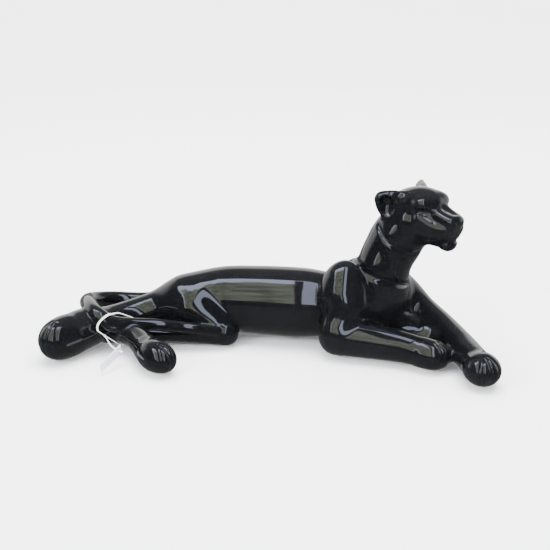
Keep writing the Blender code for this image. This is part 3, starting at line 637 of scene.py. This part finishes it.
HOLLOW = [
    Tube([(-70, 15, 37, 24), (-50, 15, 37.5, 26), (-15, 14, 37, 29.5), (25, 13, 37, 29.5), (48, 12.5, 38, 27),
          (66, 12, 40, 24), (82, 11, 46, 21)], 4),
    Tube([(88, 12, 56, 18), (104, 13, 82, 17), (116, 12, 108, 17.5), (128, 12, 130, 15)], 6),
]
HOLLOW_FLOOR = Block((20, 20, FLOOR_Z - 30), (400, 200, 60), 0.1, 3.0, True)
TROUGH = Block((6, 15, FLOOR_Z + 13), (116, 34, 26), 5.0, 3.0)
WINDOW = Block((-9, 64, 36), (106, 80, 42), 13.0, 5.0, True)
CABLE = (57, 45, 31)
BOLT = (44, 16)


def openings():
    x, y, z = CABLE
    return [
        Group([*HOLLOW, HOLLOW_FLOOR, TROUGH], 2.5, True),
        WINDOW,
        Rod((x, y - 12, z), (x, y + 12, z), 5.0),
        Rod((x, y + 2.5, z), (x, y + 16, z), 8.0),
        Rod((x, y - 11, z), (x, y - 2.5, z), 7.5),
        Rod((*BOLT, -5), (*BOLT, 30), 2.6, 0.5),
        Rod((*BOLT, -5), (*BOLT, FOOT_Z + 4.2), 6.0, 0.5),
        Block((0, 0, FOOT_Z - 30), (900, 900, 60), 0.1, 1.6, True),
    ]


def make_panther():
    outside = panther_shapes()
    shapes = outside + openings()
    points, quads, normals = skin_of(shapes, VOXEL)
    glazed = np.clip(1.0 + (field(outside, points) + 1.0) / 2.5, 0, 1)
    glazed = np.minimum(glazed, np.clip((points[:, 2] - FOOT_Z) / 1.2, 0, 1))
    casting = add_mesh("panther_casting", points, quads, "black_glaze", "figure", ["panther_shell"], normals)
    level = casting.data.attributes.new("glazed", "FLOAT", "POINT")
    level.data.foreach_set("value", glazed.astype(np.float32))
    return shapes


FIGURE = make_panther()


# ---- turned, wound and drilled pieces

def facing(direction, origin):
    """The frame at the origin whose Z runs the way given."""
    turn = Vector((0, 0, 1)).rotation_difference(Vector(direction)).to_matrix()
    return np.array(turn), np.array(origin, float)


LAMP = facing((-1, 0, 0), (58, 16, 37))
SWITCH = facing((0, 1, 0), (34, 16, 37))


def eased(outline, size, closed, steps=5):
    """The outline with each corner rounded over the length given."""
    points = [np.array(p, float) for p in outline]
    out = []
    for i, corner in enumerate(points):
        if not closed and i in (0, len(points) - 1):
            out.append(corner)
            continue
        before, after = points[i - 1] - corner, points[(i + 1) % len(points)] - corner
        a = corner + before * min(size / np.linalg.norm(before), 0.45)
        b = corner + after * min(size / np.linalg.norm(after), 0.45)
        out += [(1 - t) ** 2 * a + 2 * t * (1 - t) * corner + t * t * b for t in np.linspace(0, 1, steps)]
    return out


def dense(points, most, closed):
    """The outline with points added, none further apart than the length given."""
    out = []
    following = points[1:] + points[:1] if closed else points[1:]
    for p, q in zip(points, following):
        count = max(1, math.ceil(np.linalg.norm(q - p) / most))
        out += [p + (q - p) * i / count for i in range(count)]
    return out if closed else out + [points[-1]]


def add_closed(name, points, faces, slot, body, nodes, smooth_angle=50):
    """A closed piece, with its faces turned outwards."""
    points = np.asarray(points, float)
    inside = points.mean(0)
    volume = 0.0
    for face in faces:
        fan = points[list(face)] - inside
        volume += sum(np.dot(fan[0], np.cross(fan[i], fan[i + 1])) for i in range(1, len(fan) - 1))
    if volume < 0:
        faces = [tuple(face)[::-1] for face in faces]
    return add_mesh(name, points, faces, slot, body, nodes, smooth_angle=smooth_angle)


def turned_piece(name, outline, slot, body, nodes, frame, closed=True, sides=96, ease=0.3, most=None,
                 ripple=None):
    """A turned piece. Its outline is radius and height; ripple(turn, radius, height) adds to the radius."""
    outline = eased(outline, ease, closed) if ease else [np.array(p, float) for p in outline]
    if most:
        outline = dense(outline, most, closed)
    outline = np.array(outline)
    turn = np.linspace(0, math.tau, sides, endpoint=False)[None, :]
    radius = np.broadcast_arrays(outline[:, :1], turn)[0]
    height = np.broadcast_arrays(outline[:, 1:], turn)[0]
    if ripple:
        radius = radius + ripple(turn, radius, height)
    points = np.stack([radius * np.cos(turn), radius * np.sin(turn), height], -1).reshape(-1, 3)
    rows = len(outline)
    faces = []
    for row in range(rows if closed else rows - 1):
        after = (row + 1) % rows
        for i in range(sides):
            j = (i + 1) % sides
            faces.append((row * sides + i, after * sides + i, after * sides + j, row * sides + j))
    if not closed:
        faces.append(tuple(range(sides)))
        faces.append(tuple((rows - 1) * sides + i for i in range(sides))[::-1])
    axes, origin = frame
    return add_closed(name, points @ axes.T + origin, faces, slot, body, nodes)


def drill(obj, frame, radius, low, high):
    """A round hole through a finished piece."""
    axes, origin = frame
    ends = [np.array((0, 0, h)) @ axes.T + origin + SHIFT for h in (low, high)]
    middle, run = (ends[0] + ends[1]) / 2 * MM, Vector(ends[1] - ends[0])
    place = Matrix.Translation(middle) @ Vector((0, 0, 1)).rotation_difference(run).to_matrix().to_4x4()
    bm = bmesh.new()
    bmesh.ops.create_cone(bm, cap_ends=True, segments=48, radius1=radius * MM, radius2=radius * MM,
                          depth=run.length * MM, matrix=place)
    tool_mesh = bpy.data.meshes.new("drill")
    bm.to_mesh(tool_mesh)
    bm.free()
    tool = placed("drill", tool_mesh)
    tool.matrix_world = obj.matrix_world.copy()
    step = obj.modifiers.new("hole", "BOOLEAN")
    step.object = tool
    step.solver = "EXACT"
    bpy.context.view_layer.update()
    mesh = bpy.data.meshes.new_from_object(obj.evaluated_get(bpy.context.evaluated_depsgraph_get()))
    obj.modifiers.clear()
    obj.data = mesh
    mesh.set_sharp_from_angle(angle=math.radians(50))
    bpy.data.objects.remove(tool)


def distance_along(line):
    return np.concatenate([[0], np.cumsum(np.linalg.norm(np.diff(line, axis=0), axis=1))])


def even_curve(points, step, closed=False):
    """A smooth line through the points, in even steps."""
    points = np.asarray(points, float)
    if closed:
        ends = np.vstack([points[-1], points, points[:2]])
    else:
        ends = np.vstack([2 * points[0] - points[1], points, 2 * points[-1] - points[-2]])
    fine = []
    for a, b, c, d in zip(ends, ends[1:], ends[2:], ends[3:]):
        for t in np.linspace(0, 1, 12, endpoint=False):
            fine.append(0.5 * (2 * b + (c - a) * t + (2 * a - 5 * b + 4 * c - d) * t ** 2
                               + (3 * b - a - 3 * c + d) * t ** 3))
    fine.append(fine[0] if closed else ends[-2])
    fine = np.array(fine)
    length = distance_along(fine)
    at = np.linspace(0, length[-1], max(3, round(length[-1] / step) + 1))
    return np.stack([np.interp(at, length, fine[:, i]) for i in range(3)], -1)


def cross_axes(line):
    """Two directions square to the line at each of its points, turning as little as they can."""
    run = np.gradient(line, axis=0)
    run /= np.linalg.norm(run, axis=1)[:, None]
    side = np.cross(run[0], (0.0, 0.0, 1.0))
    if np.linalg.norm(side) < 0.1:
        side = np.cross(run[0], (0.0, 1.0, 0.0))
    sides = []
    for direction in run:
        side = side - direction * (side @ direction)
        side = side / np.linalg.norm(side)
        sides.append(side)
    sides = np.array(sides)
    return sides, np.cross(run, sides)


def wound(line, radius, pitch, start=0.0):
    """A helix of this radius and pitch round the line."""
    side, other = cross_axes(line)
    turn = (math.tau * distance_along(line) / pitch + start)[:, None]
    return line + radius * (np.cos(turn) * side + np.sin(turn) * other)


class Wires:
    """Round wires or strands, gathered into one mesh."""

    def __init__(self):
        self.points, self.faces = [], []

    def add(self, line, radius, sides=8):
        side, other = cross_axes(line)
        turn = np.linspace(0, math.tau, sides, endpoint=False)
        rings = line[:, None] + radius * (np.cos(turn)[None, :, None] * side[:, None]
                                          + np.sin(turn)[None, :, None] * other[:, None])
        base = len(self.points)
        self.points += rings.reshape(-1, 3).tolist()
        for row in range(len(line) - 1):
            for i in range(sides):
                j = (i + 1) % sides
                a = base + row * sides
                self.faces.append((a + i, a + j, a + sides + j, a + sides + i))
        self.faces.append(tuple(base + i for i in range(sides))[::-1])
        self.faces.append(tuple(base + (len(line) - 1) * sides + i for i in range(sides)))


# ---- the bulb, its holder and the switch

THREAD = 2.8


def screw_wave(turn, height):
    return 0.5 - 0.5 * np.cos(math.tau * (height / THREAD - turn / math.tau))


def band(height, low, high, fade=0.8):
    return np.clip((height - low) / fade, 0, 1) * np.clip((high - height) / fade, 0, 1)


def arc(centre, radius, start, end, count):
    """Radius and height along a circle about a point on the axis; angles are from the axis, in degrees."""
    angles = np.radians(np.linspace(start, end, count))
    return [(max(0.02, radius * math.sin(a)), centre + radius * math.cos(a)) for a in angles]


def make_bulb():
    neck, wall, globe, centre = 6.2, 0.7, 13, 78
    outside = arc(centre, globe, 0.3, 96, 30)
    outside += [(12.2, 71.5), (10.8, 67), (8.6, 61.5), (7.2, 57), (6.5, 54.5), (neck, 52), (neck, 44)]
    inside = [(neck, 44), (neck, 52.4), (6.5, 55.2), (7.2, 58), (8.6, 62.3), (10.8, 67.8), (12.2, 71.8)]
    inside = [(radius - wall, height) for radius, height in inside] + arc(centre, globe - wall, 96, 0.3, 30)
    turned_piece("bulb_envelope", outside + inside, "bulb_glass", "bulb", ["bulb_glass"], LAMP, closed=False,
                 ease=0.0)
    cap = [(6.95, 52), (6.95, 39.2), (5.9, 38.2), (2.6, 38.2), (2.6, 38.7), (5.6, 38.9), (6.3, 40.6),
           (6.45, 52)]
    turned_piece("bulb_screw_cap", cap, "nickel_cap", "bulb", ["bulb_cap"], LAMP, sides=72, ease=0.25,
                 most=0.4,
                 ripple=lambda t, r, h: -0.36 * (r > 6.6) * band(h, 39.6, 51.0) * screw_wave(t, h))
    turned_piece("bulb_stem_glass", [(0.02, 64), (1.2, 64), (2.1, 62.2), (2.0, 50.5), (3.0, 47.2), (5.0, 45),
                                     (4.4, 44.4), (0.02, 48)], "bulb_glass", "bulb", ["bulb_stem"], LAMP,
                 closed=False, sides=40, ease=0.6)
    axes, origin = LAMP
    wires = Wires()
    zigzag = [(-6.5 + 1.3 * i, 0, 76.5 + (1.2 if i % 2 else -1.2)) for i in range(11)]
    coil = wound(even_curve(zigzag, 0.045), 0.28, 0.36)
    wires.add(coil @ axes.T + origin, 0.075, 5)
    for s in (1, -1):
        lead = even_curve([(s * 0.9, 0, 61), (s * 1.2, 0, 66), (s * 4.6, 0, 72.5), (s * 6.5, 0, 75.4)], 0.6)
        wires.add(lead @ axes.T + origin, 0.22, 8)
        support = even_curve([(s * 0.3, 0.6, 63), (s * 1.0, 1.2, 69), (s * 2.6, 0.3, 75.3)], 0.6)
        wires.add(support @ axes.T + origin, 0.1, 6)
    add_mesh("bulb_filament_coil", wires.points, wires.faces, "tungsten", "bulb", ["bulb_filament"])


def make_holder():
    cap = [(11.6, 19.5), (11.6, 15), (13.8, 15), (13.8, 11), (12.4, 7.5), (9.6, 4.6), (8, 3), (8, 0.3),
           (5.3, 0.3), (5.3, 5), (7.5, 6.5), (9.9, 11), (9.9, 19.5)]
    turned_piece("holder_cap_moulding", cap, "bakelite", "figure", ["holder_cap"], LAMP, ease=0.8)
    skirt = [(12.4, 46), (13.2, 45.2), (13.2, 36), (13.8, 35), (13.8, 15.3), (12, 15.3), (12, 31), (11.4, 33),
             (11.4, 44.4), (8.6, 44.4), (8.6, 46)]
    flutes = 28

    def ribs(turn, radius, height):
        valley = (0.5 - 0.5 * np.cos(flutes * turn)) ** 2
        return -0.4 * (radius > 13.5) * band(height, 16.4, 34.0, 1.4) * valley

    shade = turned_piece("holder_skirt_moulding", skirt, "bakelite", "figure", ["holder_skirt"], LAMP,
                         sides=flutes * 6, ease=0.5, most=1.4, ripple=ribs)
    drill(shade, SWITCH, 2.2, 6, 20)
    sleeve = [(7.9, 43.5), (7.9, 31), (10, 31), (10, 29.3), (7.3, 29.3), (7.3, 43.5)]
    turned_piece("thread_sleeve_rolled", sleeve, "brass", "figure", ["thread_sleeve"], LAMP, sides=72,
                 ease=0.2, most=0.4,
                 ripple=lambda t, r, h: 0.32 * (r < 8.4) * band(h, 32, 42.6) * screw_wave(t, h))
    knob = [
        Rod((34, 30.3, 37), (34, 34.6, 37), 6.3, 1.0, False, 0.9),
        Block((34, 36.2, 37), (13, 8.0, 4.2), 1.7, 1.6),
        Rod((34, 20, 37), (34, 37.9, 37), 2.3, 0.4),
    ]
    points, quads, normals = skin_of(knob, 0.36)
    add_mesh("switch_knob_moulding", points, quads, "bakelite", "switch", ["switch_knob"], normals)


def make_grommet():
    bore, groove_at, flange, half_wall = 3.2, 4.7, 6.9, 2.8
    outline = [(flange - 0.8, half_wall + 1.8), (flange, half_wall + 1.0), (flange, half_wall),
               (groove_at, half_wall), (groove_at, -half_wall), (flange, -half_wall),
               (flange - 0.8, -half_wall - 1.4), (bore, -half_wall - 1.4), (bore, half_wall + 1.8)]
    turned_piece("cable_grommet_moulding", outline, "rubber", "figure", ["cable_grommet"],
                 facing((0, 1, 0), CABLE), sides=64, ease=0.6)


# ---- the string and its card

STRING_RADIUS = 0.5
LOOP_AT, LOOP_YAW = np.array((-149.0, -43.0)), 233.0
TAG_AT, TAG_TURN = np.array((-141.0, -80.5, 14.0)), turned_by(249.0, 14.0, 84.0)
TAG_LENGTH, TAG_WIDTH, TAG_THICK, TAG_HOLE, TAG_INSET = 34.0, 10.0, 0.5, 1.6, 4.0


def loop_line():
    """Taut round the folded foot, shin and tail in an upright plane, and never lower than the table."""
    across = np.array((math.cos(math.radians(LOOP_YAW)), math.sin(math.radians(LOOP_YAW))))
    through = np.array((across[1], -across[0]))
    outline = []
    for name in ("folded_foot", "folded_shin", "tail"):
        rows = np.array(LIMBS[name][0])
        for p, q in zip(rows, rows[1:]):
            side_p, side_q = (p[:2] - LOOP_AT) @ through, (q[:2] - LOOP_AT) @ through
            if side_p * side_q > 0:
                continue
            x, y, z, radius = p + (q - p) * side_p / (side_p - side_q)
            along = (np.array((x, y)) - LOOP_AT) @ across
            run = (q - p)[:2] / np.linalg.norm((q - p)[:2])
            if abs(along) < 40:
                outline += [Vector((along + (radius / abs(run @ through) + 1.2) * math.cos(a),
                                    z + (radius + 1.2) * math.sin(a))) for a in np.linspace(0, math.tau, 25)]
    hull = [outline[i] for i in convex_hull_2d(outline)]
    return np.array([(*(LOOP_AT + across * v.x), max(v.y, STRING_RADIUS + 0.3)) for v in hull]), through


def clear_of(shapes, points, gap):
    """The points moved out of the shapes wherever they are nearer than the gap."""
    for _ in range(4):
        short = np.maximum(gap - field(shapes, points), 0)
        points = points + slope_of(shapes, points) * short[:, None]
    points[:, 2] = np.maximum(points[:, 2], STRING_RADIUS + 0.15)
    return points


def make_string():
    """Two turns of two-ply string round the foot, a knot, and two ends to the card's hole."""
    loop, through = loop_line()
    ring = even_curve(loop, 1.0, closed=True)[:-1]
    near = int(np.argmin(np.linalg.norm(ring - TAG_AT, axis=1)))
    ring = np.roll(ring, -near, axis=0)
    sideways = np.array((*through, 0.0))
    normal = TAG_TURN[:, 2] * (1 if (ring[0] - TAG_AT) @ TAG_TURN[:, 2] > 0 else -1)
    strands = Wires()

    def ply(line):
        line = even_curve(line, 0.3)
        for start in (0, math.pi):
            strands.add(wound(line, 0.24, 2.1, start), 0.27, 7)
    for offset in (-0.75, 0.75):
        turn = clear_of(FIGURE, ring + sideways * offset, 0.62)
        ply(np.vstack([turn, turn[:1]]))
    knot = clear_of(FIGURE, ring[:1], 1.3)[0]
    end_knot = TAG_AT - normal * 3.0
    for offset in (-0.5, 0.5):
        middle = (knot + TAG_AT) / 2 + normal * 1.5 + np.array((0, 0, -2.5 + offset))
        ply([knot + sideways * offset, middle, TAG_AT + normal * 2 + TAG_TURN[:, 1] * offset,
             TAG_AT + TAG_TURN[:, 1] * offset, end_knot])
    for at, run in ((knot, TAG_AT - knot), (end_knot, normal)):
        run = run / np.linalg.norm(run)
        for start in (0, 2.1):
            coil = wound(np.array([at + run * h for h in np.linspace(-1.1, 1.1, 40)]), 0.75, 1.0, start)
            strands.add(coil, 0.34, 7)
    add_mesh("string_twisted", strands.points, strands.faces, "twine", "figure", ["tag_string"])


def make_tag():
    """A small blank card with a punched hole, a pressed ring round it and a slight bow."""
    corner, length = 1.5, TAG_LENGTH
    middle = length / 2 - TAG_INSET
    edge = []
    for cx, cy, start in ((1, 1, 0), (-1, 1, 90), (-1, -1, 180), (1, -1, 270)):
        for turn in np.radians(np.linspace(start, start + 90, 9)):
            edge.append(np.array((middle + cx * (length / 2 - corner) + corner * math.cos(turn),
                                  cy * (TAG_WIDTH / 2 - corner) + corner * math.sin(turn))))
    edge = np.array(dense(edge, 0.8, True))
    hole = TAG_HOLE * edge / np.linalg.norm(edge, axis=1)[:, None]
    levels = [0, 0.03, 0.08, 0.12, 0.2, 0.35, 0.5, 0.65, 0.8, 0.9, 0.97, 0.992, 1]
    rings = []
    for side in (1, -1):
        for level in (levels if side > 0 else levels[::-1]):
            flat = hole + (edge - hole) * level
            from_hole = np.linalg.norm(flat, axis=1) - TAG_HOLE
            pressed = 0.12 * np.exp(-((from_hole - 0.9) / 0.5) ** 2)
            rim = 0.6 if level in (0, 1) else 1.0
            bow = 0.9 * ((flat[:, 0] - middle) / length) ** 2
            rings.append(np.column_stack([flat, bow + side * (rim * TAG_THICK / 2 + pressed * (side > 0))]))
    points = np.vstack(rings)
    count, rows = len(edge), len(rings)
    faces = [(row * count + i, row * count + (i + 1) % count, (row + 1) % rows * count + (i + 1) % count,
              (row + 1) % rows * count + i) for row in range(rows) for i in range(count)]
    add_closed("tag_card_punched", points @ TAG_TURN.T + TAG_AT, faces, "card", "tag", ["tag_card"], 40)


make_bulb()
make_holder()
make_grommet()
make_string()
make_tag()


# ---- finishes on the carried-over pieces

EDGE_WIDTH, EDGE_ANGLE = 0.15, 40


def soften(obj):
    """Slightly rounded edges and smooth round faces, as modifiers over the CAD node's own mesh."""
    weld = obj.modifiers.new("weld", "WELD")
    weld.merge_threshold = 1e-6
    bevel = obj.modifiers.new("edge", "BEVEL")
    bevel.width = EDGE_WIDTH * MM
    bevel.segments = 2
    bevel.angle_limit = math.radians(EDGE_ANGLE)
    for polygon in obj.data.polygons:
        polygon.use_smooth = True
    obj.modifiers.new("normals", "WEIGHTED_NORMAL")


for node, obj in NODES.items():
    obj.data.materials.clear()
    obj.data.materials.append(FINISHES[SLOT_OF[node]])
    if not obj.hide_render:
        soften(obj)


# ---- the studio

TABLE_TONES = ((0.86, 0.862, 0.866), (0.88, 0.88, 0.88))
ROOM_RADIUS = 1.9
SKY, BRIGHT_FRAME, PALE_STRIP = (9.0, 9.8, 13.0), (8.0, 8.6, 11.0), (6.0, 6.6, 8.6)
DARK_BAR = (0.10, 0.10, 0.11)
# The garden window's limits on the dome, as shares of its radius: across, across, behind and rise.
VIEW_LEFT, VIEW_RIGHT, VIEW_TOP, VIEW_BOTTOM = -0.62, 0.17, 0.10, 0.28


def stage_turned(name, middle, profile, material, sides=96):
    """A studio surface round Z: from a middle point at this height, out along the radii and heights."""
    points = [(0.0, 0.0, middle)]
    turns = [math.tau * i / sides for i in range(sides)]
    for radius, z in profile:
        points += [(radius * math.cos(turn), radius * math.sin(turn), z) for turn in turns]
    faces = [(0, 1 + i, 1 + (i + 1) % sides) for i in range(sides)]
    for row in range(len(profile) - 1):
        for i in range(sides):
            a, b = 1 + row * sides + i, 1 + row * sides + (i + 1) % sides
            faces.append((a, a + sides, b + sides, b))
    mesh = bpy.data.meshes.new(name)
    mesh.from_pydata(points, [], faces)
    mesh.shade_smooth()
    mesh.materials.append(material)
    obj = placed(name, mesh)
    return obj


def make_floor():
    """A pale table that curves up into a wall all round, far from the lamp."""
    flat, wall, top = 1.7, 1.3, 2.6
    profile = [(flat * i / 8, 0.0) for i in range(1, 9)]
    profile += [(flat + wall * math.sin(math.radians(a)), wall * (1 - math.cos(math.radians(a))))
                for a in range(6, 91, 6)]
    profile.append((flat + wall, top))
    s = Surface("backdrop")
    s.set(Base_Color=s.mix(s.noise(3.0, 3), *TABLE_TONES), Roughness=0.75, Specular_IOR_Level=0.2)
    s.bump(s.noise(500, 3), 0.05, 0.0005)
    stage_turned("floor", 0.0, profile, s.material).visible_glossy = False


def glowing(name):
    """A surface that only glows, and the socket for its colour."""
    s = Surface(name)
    glow = s.add("ShaderNodeEmission")
    s.join(glow.outputs[0], s.tree.nodes["Material Output"].inputs["Surface"])
    return s, glow.inputs["Color"]


def only_in_gloss(obj):
    for rays in ("camera", "diffuse", "transmission", "volume_scatter", "shadow"):
        setattr(obj, "visible_" + rays, False)


def make_surroundings():
    """What the glaze mirrors: a dim room, a tall garden window at the left and a pale backdrop, on a dome."""
    s, colour = glowing("surroundings")
    split = s.add("ShaderNodeSeparateXYZ")
    s.join(s.where, split.inputs[0])
    across, behind, rise = (s.math("DIVIDE", split.outputs[axis], ROOM_RADIUS) for axis in "XYZ")
    room = s.mix(s.span(s.noise(1.5, 3), 0.35, 0.65), (0.05, 0.05, 0.055), (0.16, 0.16, 0.17))
    backdrop = s.mix(s.span(rise, 0.40, 0.62, 1.0, 0.0), (0.35, 0.35, 0.36), (2.0, 2.0, 2.0))
    seen = s.mix(s.span(behind, -0.05, 0.25), room, backdrop)
    uneven = s.span(s.noise(6.0, 3), 0.3, 0.7, -0.015, 0.015)
    left = s.math("ADD", s.math("SUBTRACT", across, VIEW_LEFT), uneven)
    right = s.math("SUBTRACT", VIEW_RIGHT, across)
    top = s.math("ADD", s.math("SUBTRACT", VIEW_TOP, behind), uneven)
    bottom = s.math("SUBTRACT", rise, VIEW_BOTTOM)
    inset = s.math("MINIMUM", s.math("MINIMUM", left, right), s.math("MINIMUM", top, bottom))
    garden = s.mix(s.span(s.noise(4.0, 5, 0.6), 0.35, 0.65), (1.5, 1.7, 1.2), (3.6, 4.0, 3.2))
    tree_line = s.math("ADD", behind, s.span(s.noise(3.0, 4), 0.25, 0.75, -0.09, 0.09))
    view = s.mix(s.span(tree_line, -0.16, -0.06), garden, SKY)
    view = s.mix(s.span(across, 0.0, 0.02), view, PALE_STRIP)
    off_bar = s.math("ABSOLUTE", s.math("ADD", across, 0.035))
    view = s.mix(s.span(off_bar, 0.042, 0.05, 1.0, 0.0), view, DARK_BAR)
    view = s.mix(s.span(s.math("MINIMUM", left, top), 0.015, 0.05, 1.0, 0.0), view, BRIGHT_FRAME)
    s.join(s.mix(s.span(inset, -0.004, 0.010), seen, view), colour)
    rings = 24
    slopes = [math.pi / 2 * (1 - j / rings) for j in range(1, rings + 1)]
    dome = [(ROOM_RADIUS * math.cos(up), ROOM_RADIUS * math.sin(up)) for up in slopes]
    only_in_gloss(stage_turned("surroundings", ROOM_RADIUS, dome, s.material))


def make_mirrored_table():
    """The table as the glaze mirrors it."""
    s, colour = glowing("mirrored_table")
    s.join(s.mix(s.noise(3.0, 3), (0.30, 0.30, 0.31), (0.36, 0.36, 0.37)), colour)
    only_in_gloss(stage_turned("mirrored_table", 0.0, [(ROOM_RADIUS, 0.0)], s.material))


def add_area(name, at, towards, width, height, power, colour=(1, 1, 1)):
    light = bpy.data.lights.new(name, "AREA")
    light.shape = "RECTANGLE"
    light.size, light.size_y = width, height
    light.energy, light.color = power, colour
    obj = placed(name, light)
    obj.location = at
    obj.rotation_euler = (Vector(towards) - Vector(at)).to_track_quat("-Z", "Y").to_euler()
    obj.visible_glossy = False


def make_world():
    world = bpy.data.worlds.new("studio")
    bpy.context.scene.world = world
    world.use_nodes = True
    background = world.node_tree.nodes["Background"]
    background.inputs["Color"].default_value = (0.97, 0.98, 1.0, 1)
    background.inputs["Strength"].default_value = 3.4


make_floor()
make_surroundings()
make_mirrored_table()
make_world()
add_area("overhead", (0.1, 0.5, 2.3), (0, 0, 0), 2.2, 1.6, 190)
add_area("window", (-1.15, -1.35, 1.0), (0, 0, 0.05), 0.9, 0.7, 36, (0.86, 0.93, 1.0))
